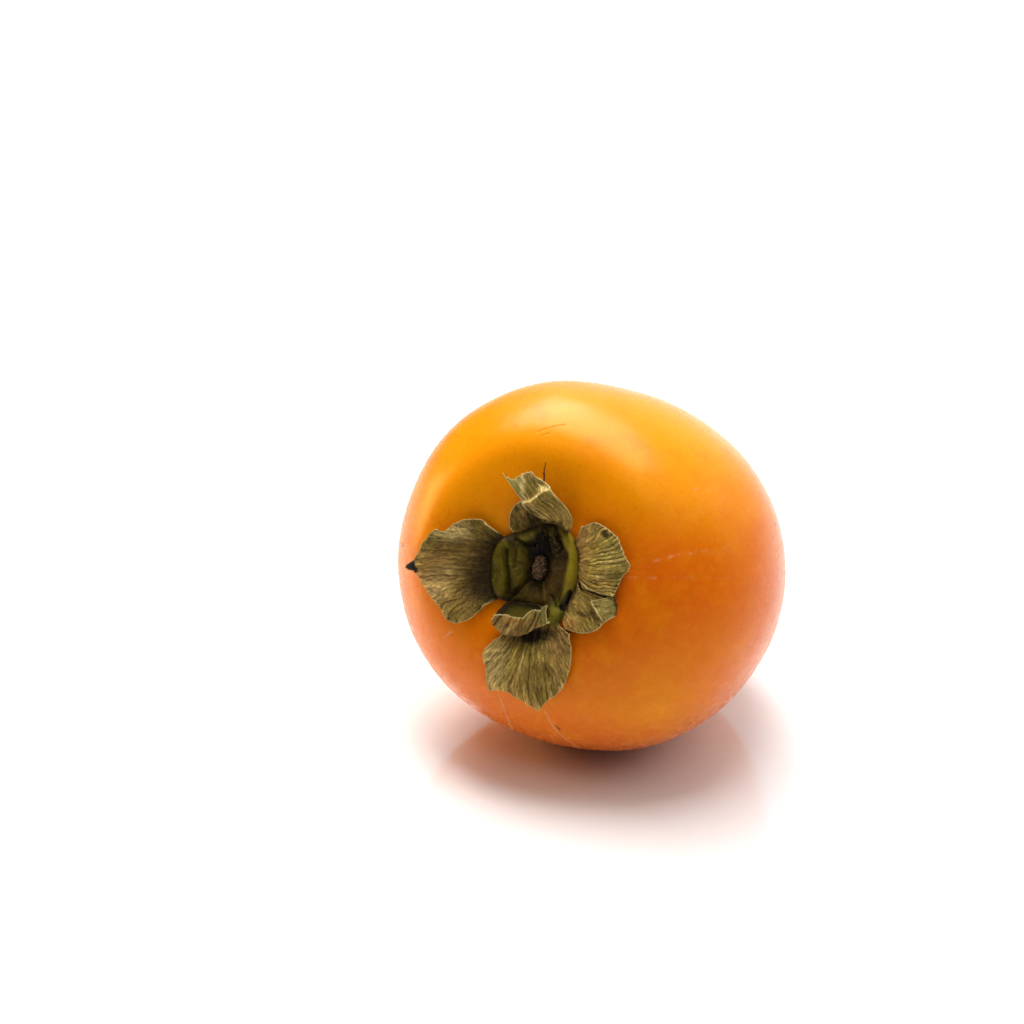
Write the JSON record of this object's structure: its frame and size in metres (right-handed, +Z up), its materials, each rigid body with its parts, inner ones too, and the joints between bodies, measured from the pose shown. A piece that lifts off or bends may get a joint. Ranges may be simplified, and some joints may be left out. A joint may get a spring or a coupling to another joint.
{
  "type": "persimmon",
  "caption": "Ripe orange persimmon lying on its side on a small flat spot, with a thick green calyx disc, dry curling sepals and the stub of its cut stem.",
  "frame": {"origin": "middle of the whole fruit's box in plan, on the surface it rests on", "axes": "+Z up; the calyx faces -Y and 20.5 degrees upward, the tip points to +Y and downward"},
  "size_m": [0.0814, 0.0838, 0.076],
  "materials": {
    "skin": "gloss",
    "disc": "satin",
    "sepal": "matte",
    "wood": "matte"
  },
  "bodies": {
    "root": {"fruit": "skin", "calyx_disc": "disc", "sepal_left": "sepal", "sepal_top": "sepal", "sepal_right": "sepal", "sepal_bottom": "sepal", "sepal_small": "sepal", "stem_stub": "wood", "style_remnant": "wood"}
  },
  "joints": []
}
